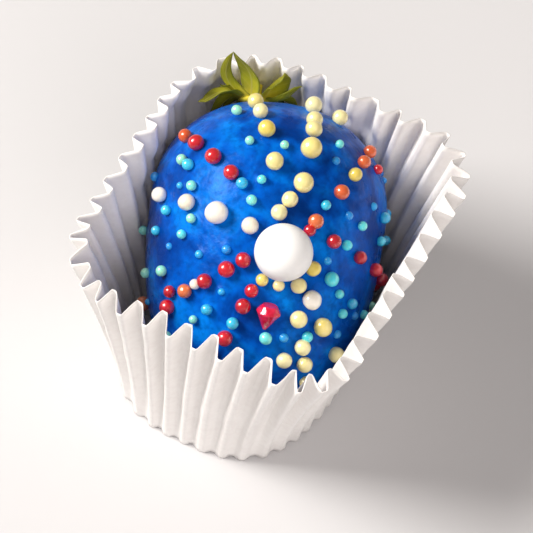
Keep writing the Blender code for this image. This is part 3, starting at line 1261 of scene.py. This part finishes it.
@dataclass
class SugarGem:
    """A cut gem of red sugar, lying on its side with its table towards the large ball.

    Sizes are the girdle's radius and the heights of the crown and the pavilion, and kites and
    facets are shares of the girdle's radius and of the height over or under it. foot is the large
    ball's foot on the coat and spot the gem's own, both on the berry's axes.
    """

    foot: Vector
    spot: Vector
    girdle: float = 1.9 * MM
    girdle_edge: float = 0.14 * MM
    crown: float = 1.1 * MM
    pavilion: float = 3.3 * MM
    table_share: float = 0.62
    kites: tuple[float, float] = (0.82, 0.55)
    facets: tuple[float, float] = (0.42, 0.6)
    sides: int = 8
    edge_round: float = 0.05 * MM
    lean: float = math.radians(14)
    middle_height: float = 0.75 * MM
    finish: CandyGlass = CandyGlass()

    def corner_rings(self) -> list[Vector]:
        """Lists the corners of the cut, with the table up.

        Returns:
            The corners of the table, the crown's kites, the girdle, the pavilion and the culet.
        """
        step = TURN / self.sides

        def ring(count: int, radius: float, height: float, shift: float) -> list[Vector]:
            """Returns points on a level circle, the first turned by shift."""
            turns = [shift + TURN * i / count for i in range(count)]
            return [Vector((radius * math.cos(t), radius * math.sin(t), height)) for t in turns]

        return [
            *ring(self.sides, self.girdle * self.table_share, self.crown, 0),
            *ring(self.sides, self.girdle * self.kites[0], self.crown * self.kites[1], step / 2),
            *ring(2 * self.sides, self.girdle, self.girdle_edge / 2, 0),
            *ring(2 * self.sides, self.girdle, -self.girdle_edge / 2, 0),
            *ring(self.sides, self.girdle * self.facets[0], -self.pavilion * self.facets[1], step / 2),
            Vector((0, 0, -self.pavilion)),
        ]

    def build(self, berry: BerryShape) -> bpy.types.Object:
        """Cuts the gem and lays it on the coat.

        Args:
            berry: The coat's shape.

        Returns:
            The piece.
        """
        away = berry.normal(self.spot)
        table_way = self.foot - self.spot
        table_way = (table_way - table_way.dot(away) * away).normalized()
        middle = self.spot + away * self.middle_height
        table_way, away = (
            math.cos(self.lean) * table_way + math.sin(self.lean) * away,
            math.cos(self.lean) * away - math.sin(self.lean) * table_way,
        )
        side = away.cross(table_way)
        turned = Matrix.Translation(middle) @ Matrix((side, away, table_way)).transposed().to_4x4()
        bm = bmesh.new()
        for corner in self.corner_rings():
            bm.verts.new(berry.place @ turned @ corner)
        bmesh.ops.convex_hull(bm, input=bm.verts[:])
        bmesh.ops.dissolve_limit(bm, angle_limit=math.radians(1), verts=bm.verts[:], edges=bm.edges[:])
        bmesh.ops.bevel(
            bm, geom=bm.edges[:], offset=self.edge_round, segments=2, affect="EDGES", clamp_overlap=True
        )
        bmesh.ops.recalc_face_normals(bm, faces=bm.faces[:])
        mesh = bpy.data.meshes.new("red_sugar_gem")
        bm.to_mesh(mesh)
        bm.free()
        mesh.materials.append(self.finish.material())
        return link_object("red_sugar_gem", mesh)


@dataclass(frozen=True)
class Sepal:
    """One sepal of the calyx, in millimetres from the calyx's middle.

    Attributes:
        right: The tip's place to the berry's right.
        up: The tip's place upwards across the berry's crown.
        back: The tip's place away from the berry.
        width: The greatest width.
        bow: How far the midrib swings to the right, looking from the root to the tip.
        arch: How far the midrib stands away from the berry at its middle.
        cup: How far the rims stand above the midrib.
        turn: Degrees by which the blade is turned about its midrib.
    """

    right: float
    up: float
    back: float
    width: float
    bow: float = 0.0
    arch: float = 1.0
    cup: float = 0.6
    turn: float = 0.0


SEPALS = (
    Sepal(7.1, 4.2, 2.4, 2.2, bow=0.3, arch=-0.7, cup=0.3),
    Sepal(4.3, 4.6, 4.1, 4.8, bow=0.4, arch=0.9, cup=-1.2, turn=-40),
    Sepal(-3.7, 9.2, 5.7, 3.2, bow=1.3, arch=0.5, cup=-0.5, turn=20),
    Sepal(-3.7, 9.4, 5.6, 2.0, bow=-2.5, arch=-0.4, cup=0.3, turn=-30),
    Sepal(-8.6, 2.4, -1.5, 3.4, bow=0.8, arch=1.3, cup=0.5, turn=40),
    Sepal(-7.0, -3.6, -2.4, 3.2, bow=0.3, arch=1.5, cup=0.5),
    Sepal(-2.6, -6.4, -0.5, 3.8, bow=-0.3, arch=1.2, cup=0.7),
    Sepal(2.6, -6.3, 0.2, 3.6, bow=0.4, arch=0.9, cup=0.8),
    Sepal(6.6, -3.2, 0.3, 3.4, bow=-0.3, arch=0.8, cup=0.7),
    Sepal(-5.4, 4.6, 1.2, 1.5, bow=-0.6, arch=0.7, cup=0.2),
    Sepal(-5.6, -5.6, -1.4, 1.6, bow=0.2, arch=1.2, cup=0.2),
    Sepal(4.8, -5.4, 0.4, 1.5, bow=-0.2, arch=0.9, cup=0.2),
)


@dataclass
class Calyx:
    """The leafy cap: pointed sepals with a keel and waved rims round a domed disc and a cut stalk."""

    shape: BerryShape
    side: float = -4.0 * MM
    lift: float = 1.05 * MM
    disc_radius: float = 2.6 * MM
    disc_rise: float = 0.9 * MM
    stalk_radius: float = 0.85 * MM
    stalk_length: float = 1.7 * MM
    thickness: float = 0.3 * MM
    rim_thickness: float = 0.1 * MM
    tip_thickness_share: float = 0.35
    tip_taper: float = 4.0
    root_share: float = 0.62
    root_width_share: float = 0.2
    root_fullness: float = 0.8
    tip_fullness: float = 0.85
    arch_end: float = 1.15
    cup_fullness: float = 1.4
    rows: int = 30
    columns: int = 12
    wave: float = 0.16 * MM
    seed: int = 5
    finish: StrawberryLeaf = StrawberryLeaf()
    points: list[Vector] = field(default_factory=list)
    spread: list[tuple[float, float]] = field(default_factory=list)
    faces: list[tuple[int, ...]] = field(default_factory=list)

    def placed(self, right: float, up: float, back: float) -> Vector:
        """Finds a place from the calyx's own directions.

        Args:
            right: Metres to the berry's right of the calyx's middle.
            up: Metres upwards across the crown.
            back: Metres away from the berry.

        Returns:
            The point in the frame.
        """
        seat = self.shape.crown_length - self.shape.hollow_depth + self.lift
        return self.shape.place @ Vector((self.side + right, -up, seat + back))

    def add_loops(self, loops: list[list[Vector]], marks: list[list[tuple[float, float]]]) -> None:
        """Joins closed rings of points into a skin, and closes both ends.

        Args:
            loops: Rings of points, all of the same even count.
            marks: The map place of each point.
        """
        first = len(self.points)
        count = len(loops[0])
        for loop, places in zip(loops, marks):
            self.points.extend(loop)
            self.spread.extend(places)
        for row in range(len(loops) - 1):
            low, high = first + row * count, first + (row + 1) * count
            for i in range(count):
                j = (i + 1) % count
                self.faces.append((low + i, low + j, high + j, high + i))
        last = first + (len(loops) - 1) * count
        for i in range(count // 2 - 1):
            j, k = count - 1 - i, count - 2 - i
            self.faces.append((first + i, first + j, first + k, first + i + 1))
            self.faces.append((last + i, last + i + 1, last + k, last + j))

    def add_sepal(self, sepal: Sepal, random: np.random.Generator) -> None:
        """Adds one sepal.

        Args:
            sepal: Its place and shape.
            random: Makes its rims differ from its neighbours'.
        """
        tip = Vector((sepal.right, sepal.up, sepal.back)) * MM
        flat = Vector((tip.x, tip.y, 0)).normalized()
        root = flat * self.disc_radius * self.root_share
        across = flat.cross(UP)
        reach = tip - root
        phase, waves = random.uniform(0, TURN), random.uniform(2.2, 3.4)
        shares = np.linspace(0, 1, self.rows + 1)
        widths = (self.root_width_share + shares) ** self.root_fullness * (1 - shares) ** self.tip_fullness
        widths *= sepal.width * MM / 2 / widths.max()
        rib = []
        for v in shares:
            swing = math.sin(math.pi * v) * sepal.bow * MM
            stand = math.sin(math.pi * min(v * self.arch_end, 1.0)) * sepal.arch * MM
            rib.append(root + reach * v + across * swing + UP * stand)
        loops, marks = [], []
        for row, v in enumerate(shares):
            ahead = rib[min(row + 1, self.rows)] - rib[max(row - 1, 0)]
            ahead.normalize()
            aside = (across - across.dot(ahead) * ahead).normalized()
            face = aside.cross(ahead).normalized()
            if face.z < 0:
                face.negate()
            turned = Matrix.Rotation(math.radians(sepal.turn) * v, 3, ahead)
            aside, face = turned @ aside, turned @ face
            top, bottom, top_marks, bottom_marks = [], [], [], []
            for column in range(self.columns + 1):
                u = column / self.columns * 2 - 1
                ripple = self.wave * math.sin(waves * math.pi * 2 * v + phase + u) * u**2 * (1 - v)
                rise = sepal.cup * MM * abs(u) ** self.cup_fullness * widths[row] / (
                    sepal.width * MM / 2
                ) + ripple
                centre = rib[row] + aside * u * widths[row] + face * rise
                thick = self.rim_thickness + (self.thickness - self.rim_thickness) * (1 - u**2)
                share = min((1 - v) * self.tip_taper, 1)
                thick *= self.tip_thickness_share + (1 - self.tip_thickness_share) * share
                top.append(centre + face * thick / 2)
                bottom.append(centre - face * thick / 2)
                top_marks.append((column / self.columns, float(v)))
                bottom_marks.append((column / self.columns, float(v)))
            loops.append([self.placed(*p) for p in top + bottom[::-1]])
            marks.append(top_marks + bottom_marks[::-1])
        self.add_loops(loops, marks)

    def add_disc(self, segments: int = 36) -> None:
        """Adds the domed disc with the stub of the stalk, turned about the calyx's middle.

        Args:
            segments: Facets round the disc.
        """
        top = self.disc_rise + self.stalk_length
        profile = (
            (0.05 * MM, -0.5 * MM),
            (self.disc_radius * 0.8, -0.5 * MM),
            (self.disc_radius, -0.15 * MM),
            (self.disc_radius * 0.94, 0.25 * MM),
            (self.disc_radius * 0.7, self.disc_rise * 0.75),
            (self.stalk_radius * 1.5, self.disc_rise),
            (self.stalk_radius * 1.08, self.disc_rise * 1.3),
            (self.stalk_radius, top * 0.75),
            (self.stalk_radius * 1.06, top - 0.1 * MM),
            (self.stalk_radius * 0.9, top),
            (self.stalk_radius * 0.4, top - 0.08 * MM),
            (0.05 * MM, top - 0.12 * MM),
        )
        loops, marks = [], []
        for radius, back in profile:
            turns = [TURN * i / segments for i in range(segments)]
            loops.append([self.placed(radius * math.cos(t), radius * math.sin(t), back) for t in turns])
            marks.append([(0.3, 0.0)] * segments)
        self.add_loops(loops, marks)

    def build(self) -> bpy.types.Object:
        """Builds and dresses the calyx.

        Returns:
            The piece.
        """
        random = np.random.default_rng(self.seed)
        for sepal in SEPALS:
            self.add_sepal(sepal, random)
        self.add_disc()
        piece = new_piece("strawberry_calyx", np.array(self.points), self.faces, self.finish.material())
        bm = bmesh.new()
        bm.from_mesh(piece.data)
        bmesh.ops.recalc_face_normals(bm, faces=bm.faces[:])
        bm.to_mesh(piece.data)
        bm.free()
        spread = piece.data.uv_layers.new(name="sepal")
        corners = np.empty(len(piece.data.loops), dtype=np.int32)
        piece.data.loops.foreach_get("vertex_index", corners)
        spread.uv.foreach_set("vector", np.array(self.spread)[corners].ravel())
        return piece


@dataclass
class PaperCase:
    """The fluted case: one sheet, folded by Geometry Nodes, that lies flat where the berry leans on it.

    fold_profile gives places across a flute and the share of its depth there, disc_shares the base's
    rings from its middle out, and the rim_ values the ragged cut of the mouth.
    """

    shape: CaseShape
    finish: GreaseproofPaper = GreaseproofPaper()
    flutes: int = 44
    columns_per_flute: int = 16
    levels: int = 38
    depth_at_base: float = 0.6 * MM
    depth_at_mouth: float = 2.6 * MM
    rise_of_folds: float = 0.6
    crimp_height: float = 0.3 * MM
    rim_variation: float = 0.3 * MM
    thickness: float = 0.12 * MM
    berry_gap: float = 0.45 * MM
    depth_limits: tuple[float, float] = (0.05 * MM, 6.0 * MM)
    look_inward: float = 8.0 * MM
    columns_beside: int = 4
    fold_profile: tuple[tuple[float, float], ...] = ((0.22, 0.0), (0.5, 1.0), (0.72, 1.0))
    soft_corner: float = 0.4 * MM
    disc_shares: tuple[float, ...] = (0.12, 0.35, 0.6, 0.78, 0.86, 0.91, 0.95, 0.98)
    folds_from_share: float = 0.8
    folds_full_over: float = 0.18
    crimp_fade: float = 0.8 * MM
    rim_circle: float = 10.0 * MM
    rim_wave_mm: float = 1.6
    rim_drop: float = 0.6
    rim_sharpness: int = 6
    width_variation: float = 0.7
    depth_variation: float = 0.5
    crumple: float = 0.5 * MM
    crumple_mm: float = 7.0
    seed: int = 4

    def fold_values(self) -> dict[str, float]:
        """Returns the numbers that the folding tree takes, by the names of its inputs."""
        return {
            "Flutes": float(self.flutes),
            "Depth at base": self.depth_at_base,
            "Depth at mouth": self.depth_at_mouth,
            "Rise of folds": self.rise_of_folds,
            "Crimp height": self.crimp_height,
            "Width variation": self.width_variation,
            "Depth variation": self.depth_variation,
            "Crumple": self.crumple,
            "Crumple scale": grain(self.crumple_mm),
            "Seed": float(self.seed),
        }

    def folding_tree(self) -> GeometryTree:
        """Builds the tree that folds a smooth sheet into flutes.

        Returns:
            The tree.
        """
        inputs = dict.fromkeys(self.fold_values(), "NodeSocketFloat")
        tree = GeometryTree("fluted_sheet", inputs | {"Material": "NodeSocketMaterial"})
        given = tree.given

        def stored(name: str, kind: str = "FLOAT") -> bpy.types.NodeSocket:
            """Returns the sheet's stored value of this name."""
            return tree.add("GeometryNodeInputNamedAttribute", {"Name": name}, data_type=kind).outputs[0]

        def math_node(operation: str, *values: object) -> bpy.types.NodeSocket:
            """Returns the result of a Math node on these values."""
            inputs = dict(enumerate(values))
            return tree.add("Math", inputs, operation=operation).outputs[0]

        around, level, outward = stored("around"), stored("level"), stored("outward", "FLOAT_VECTOR")
        angle = math_node("MULTIPLY", around, TURN)
        circle = tree.add(
            "CombineXYZ",
            {
                "X": math_node("COSINE", angle),
                "Y": math_node("SINE", angle),
                "Z": math_node("MULTIPLY", level, 0.12),
            },
        ).outputs[0]

        def unevenness(scale: float, shift: float) -> bpy.types.NodeSocket:
            """Returns noise round the case, from about -0.5 to 0.5."""
            texture = tree.add(
                "TexNoise",
                {
                    "Vector": circle,
                    "Scale": scale,
                    "W": math_node("ADD", given["Seed"], shift),
                    "Detail": 0.0,
                },
                noise_dimensions="4D",
            )
            return math_node("SUBTRACT", texture.outputs["Fac"], 0.5)

        width = math_node("MULTIPLY", unevenness(4.7, 0.0), given["Width variation"])
        counted = math_node("MULTIPLY_ADD", around, given["Flutes"], width)
        wave = tree.add("FloatCurve", {"Value": math_node("FRACT", counted)})
        curve = wave.mapping.curves[0]
        for place, inward in self.fold_profile:
            curve.points.new(place, inward)
        for point in curve.points:
            point.handle_type = "VECTOR"
        curve.points[-1].location = (1.0, 0.0)
        wave.mapping.update()
        fold = wave.outputs[0]

        depth = tree.add(
            "MapRange",
            {"Value": level, "To Min": given["Depth at base"], "To Max": given["Depth at mouth"]},
        ).outputs[0]
        uneven = math_node("MULTIPLY_ADD", unevenness(9.0, 5.0), given["Depth variation"], 1.0)
        depth = math_node("MULTIPLY", depth, uneven)
        depth = math_node("SMOOTH_MIN", depth, stored("room"), self.soft_corner)
        depth = math_node("MULTIPLY", math_node("MULTIPLY", depth, fold), stored("folded"))
        crumple = tree.add("TexNoise", {"Scale": given["Crumple scale"], "Detail": 2.0}).outputs["Fac"]
        crumple = math_node("MULTIPLY", math_node("SUBTRACT", crumple, 0.5), given["Crumple"])
        crumple = math_node("MULTIPLY", crumple, math_node("MINIMUM", level, 0.9))
        inward = math_node("SUBTRACT", crumple, depth)
        shift = tree.add("VectorMath", {0: outward, "Scale": inward}, operation="SCALE").outputs[0]
        lift = math_node("MULTIPLY", math_node("MULTIPLY", stored("crimp"), fold), given["Crimp height"])
        steep = math_node("MULTIPLY", math_node("MULTIPLY", level, level), given["Rise of folds"])
        lift = math_node("MULTIPLY_ADD", depth, steep, lift)
        rise = tree.add("CombineXYZ", {"Z": lift}).outputs[0]
        offset = tree.add("VectorMath", {0: shift, 1: rise}, operation="ADD").outputs[0]
        moved = tree.add("GeometryNodeSetPosition", {"Geometry": given["Geometry"], "Offset": offset})
        tree.end(moved.outputs[0])
        return tree

    def free_depth(
        self, wall: np.ndarray, outward: np.ndarray, room: np.ndarray, inside: BVHTree
    ) -> np.ndarray:
        """Measures how deep the folds can go before they touch the berry or its pearls.

        Args:
            wall: The wall's points, one grid row for each level.
            outward: The wall's outward direction at each of them.
            room: How far inwards the smooth berry lies.
            inside: The berry with its pearls.

        Returns:
            The depth at each point, the least of the places beside it.
        """
        found = room.copy()
        for index in np.ndindex(found.shape):
            hit = inside.ray_cast(Vector(wall[index]), -Vector(outward[index]), self.look_inward)
            if hit[0] is not None:
                found[index] = min(found[index], hit[3])
        for shift in range(1, self.columns_beside + 1):
            beside = np.minimum(np.roll(found, shift, 1), np.roll(found, -shift, 1))
            found = np.minimum(found, beside)
        below, above = np.vstack([found[:1], found[:-1]]), np.vstack([found[1:], found[-1:]])
        found = np.minimum(found, np.minimum(below, above))
        return np.clip(found - self.berry_gap, *self.depth_limits)

    def build(self, inside: BVHTree) -> bpy.types.Object:
        """Folds and dresses the case.

        Args:
            inside: The berry with its pearls, which the folds keep clear of.

        Returns:
            The piece.
        """
        columns = self.flutes * self.columns_per_flute
        shares = np.arange(columns) / columns
        levels = np.linspace(0, 1, self.levels + 1)
        wall, outward, room = (np.array(part) for part in zip(*(self.shape.wall(shares, v) for v in levels)))
        circle = np.column_stack([np.cos(TURN * shares), np.sin(TURN * shares), 0 * shares])
        ragged = noise_field(circle * self.rim_circle, [self.rim_wave_mm] * 3, self.seed) - self.rim_drop
        wall[:, :, 2] += self.rim_variation * np.outer(levels**self.rim_sharpness, ragged)
        depth = self.free_depth(wall, outward, room, inside)
        middle = np.append(self.shape.base_middle, 0.0)
        disc_shares = np.array(self.disc_shares)
        disc = middle + (wall[0] - middle) * disc_shares[:, None, None]
        disc_rows = len(disc_shares)
        rows = disc_rows + len(levels)
        rim = rows * columns
        faces = [
            (
                row * columns + i,
                row * columns + (i + 1) % columns,
                (row + 1) * columns + (i + 1) % columns,
                (row + 1) * columns + i,
            )
            for row in range(rows - 1) for i in range(columns)
        ]
        faces += [(rim, (i + 1) % columns, i) for i in range(columns)]
        points = np.vstack([disc.reshape(-1, 3), wall.reshape(-1, 3), middle[None]])
        material = self.finish.material()
        piece = new_piece("fluted_paper_case", points, faces, material)

        def store(name: str, disc_values: np.ndarray, wall_values: np.ndarray, last: object) -> None:
            """Stores a value for each of the sheet's points.

            Args:
                name: The attribute's name.
                disc_values: The values of the base's rows.
                wall_values: The values of the wall's rows.
                last: The value of the base's middle.
            """
            shape = (rows, columns, *np.shape(last))
            values = np.empty(shape)
            values[:disc_rows], values[disc_rows:] = disc_values, wall_values
            flat = values.reshape(rim, *np.shape(last))
            write_floats(piece.data, name, np.concatenate([flat, np.array([last])]))

        disc_fade = np.clip((disc_shares - self.folds_from_share) / self.folds_full_over, 0, 1)[:, None]
        store("around", shares, shares, 0.0)
        store("level", 0.0, levels[:, None], 0.0)
        store("folded", disc_fade, 1.0, 0.0)
        store("crimp", disc_fade, np.exp(-levels * self.shape.height / self.crimp_fade)[:, None], 0.0)
        store("outward", outward[0], outward, (1.0, 0.0, 0.0))
        store("room", depth[0], depth, 0.0)
        self.folding_tree().run(piece, self.fold_values() | {"Material": material})
        paper = piece.modifiers.new("paper", "SOLIDIFY")
        paper.thickness = self.thickness
        paper.offset = -1
        bake_modifiers(piece)
        for name in ("around", "level", "folded", "crimp", "outward", "room"):
            piece.data.attributes.remove(piece.data.attributes[name])
        return piece


def solid_tree(pieces: Sequence[bpy.types.Object]) -> BVHTree:
    """Makes a search tree of several pieces that stand at the origin.

    Args:
        pieces: The pieces.

    Returns:
        The tree.
    """
    points, faces = [], []
    for piece in pieces:
        first = len(points)
        points += [v.co for v in piece.data.vertices]
        faces += [[first + i for i in p.vertices] for p in piece.data.polygons]
    return BVHTree.FromPolygons(points, faces)


# ===== Studio =====


@dataclass
class Studio:
    """A white table top under a soft key light, with a broad fill and a faint, even surround."""

    middle: Vector
    floor_size: float = 4.0
    surround: float = 0.22
    key_watts: float = 8.7
    key_size: float = 0.34
    key_away: Vector = Vector((-0.53, -0.2, 0.57))
    key_colour: str = "#FFFAF4"
    fill_watts: float = 5.2
    fill_size: float = 0.9
    fill_away: Vector = Vector((0.56, -0.46, 0.6))
    fill_colour: str = "#FFF6F2"
    surround_colour: str = "#FFF8F2"
    finish: StudioCard = StudioCard()

    def add_light(self, name: str, place: Vector, watts: float, size: float, colour: str) -> bpy.types.Object:
        """Adds a square soft light that points at the berry.

        Args:
            name: The light's name.
            place: Where it stands.
            watts: Its power.
            size: The length of its side.
            colour: Its colour.

        Returns:
            The light.
        """
        lamp = bpy.data.lights.new(name, "AREA")
        lamp.energy = watts
        lamp.size = size
        lamp.color = linear(colour)[:3]
        light = link_object(name, lamp)
        light.location = place
        light.rotation_euler = (self.middle - place).to_track_quat("-Z", "Y").to_euler()
        return light

    def build(self) -> None:
        """Builds the table top, the lights and the surround. The fill makes no highlights of its own."""
        half = self.floor_size / 2
        corners = np.array([[-half, -half, 0], [half, -half, 0], [half, half, 0], [-half, half, 0]])
        floor = new_piece("table_top", corners, [(0, 1, 2, 3)], self.finish.material())
        self.add_light("key", self.middle + self.key_away, self.key_watts, self.key_size, self.key_colour)
        fill = self.add_light(
            "fill", self.middle + self.fill_away, self.fill_watts, self.fill_size, self.fill_colour
        )
        fill.visible_glossy = False
        world = bpy.data.worlds.new("white_surround")
        world.use_nodes = True
        background = world.node_tree.nodes["Background"]
        background.inputs["Color"].default_value = linear(self.surround_colour)
        background.inputs["Strength"].default_value = self.surround
        bpy.context.scene.world = world
        bpy.context.scene.view_settings.view_transform = "Standard"


@dataclass
class Camera:
    """The camera: a long lens that looks down over the berry's tip, slightly rolled."""

    middle: Vector
    place: Vector = Vector((0.2133, -0.4296, 0.7399))
    rightward: Vector = Vector((0.881, 0.473, 0.018))
    lens_mm: float = 380.0

    def build(self) -> None:
        """Places the camera and makes it the scene's."""
        back = (self.place - self.middle).normalized()
        right = (self.rightward - self.rightward.dot(back) * back).normalized()
        turned = Matrix((right, back.cross(right), back)).transposed().to_4x4()
        data = bpy.data.cameras.new("camera")
        data.lens = self.lens_mm
        data.sensor_width = 36.0
        data.clip_start, data.clip_end = 0.05, 20.0
        camera = link_object("camera", data)
        camera.matrix_world = Matrix.Translation(self.place) @ turned
        bpy.context.scene.camera = camera


PEARL_FINISHES = {
    WHITE: PearledSugar("cream_sugar_pearls", "#FFFBF2", "#F8ECD4", metallic=0.05),
    GOLD: PearledSugar("gold_sugar_pearls", "#FFF6BC", "#F2D960", metallic=0.08),
    RED: PearledSugar("red_sugar_pearls", "#E20E24", "#BC0620"),
    ORANGE: PearledSugar("orange_sugar_pearls", "#F28A50", "#E65A24"),
    TURQUOISE: PearledSugar("turquoise_sugar_pearls", "#22AEEE", "#A6F4CE", "#48E6F4", metallic=0.05),
    BLUE: PearledSugar("blue_sugar_pearls", "#0E78E0", "#2FB2F4", metallic=0.0, clear=0.4),
}


def main() -> None:
    """Builds the pieces in order, then the studio and the camera."""
    berry = BerryShape()
    polar = PolarField(berry)
    case_shape = CaseShape(berry)
    decoration = Decoration(berry, polar, case_shape)

    coat = ChocolateCoat(berry, polar, decoration.pearls).build()
    bed = PearlBed()
    beds = []
    for number, (kind, finish) in enumerate(PEARL_FINISHES.items()):
        chosen = [pearl for pearl in decoration.pearls if pearl.kind is kind]
        fineness = 3 if kind in (TURQUOISE, BLUE) else 4
        beds.append(
            bed.build(f"{kind.value}_sugar_pearls", chosen, finish, fineness, FIRST_PEARL_SEED + number)
        )
    case = PaperCase(case_shape).build(solid_tree([coat, *beds]))

    hand_in(case, "paper_case")
    hand_in(coat, "coated_berry")
    hand_in(Calyx(berry).build(), "calyx")
    hand_in(SugarBall().build(), "sugar_ball")
    for piece in beds:
        hand_in(piece)
    hand_in(SugarGem(polar.foot, decoration.gem_spot).build(berry))

    middle = (cad_box[0] + cad_box[1]) / 2
    Studio(middle).build()
    Camera(middle).build()


if __name__ == "__main__":
    logging.basicConfig(level=logging.INFO, format="%(message)s")
    main()
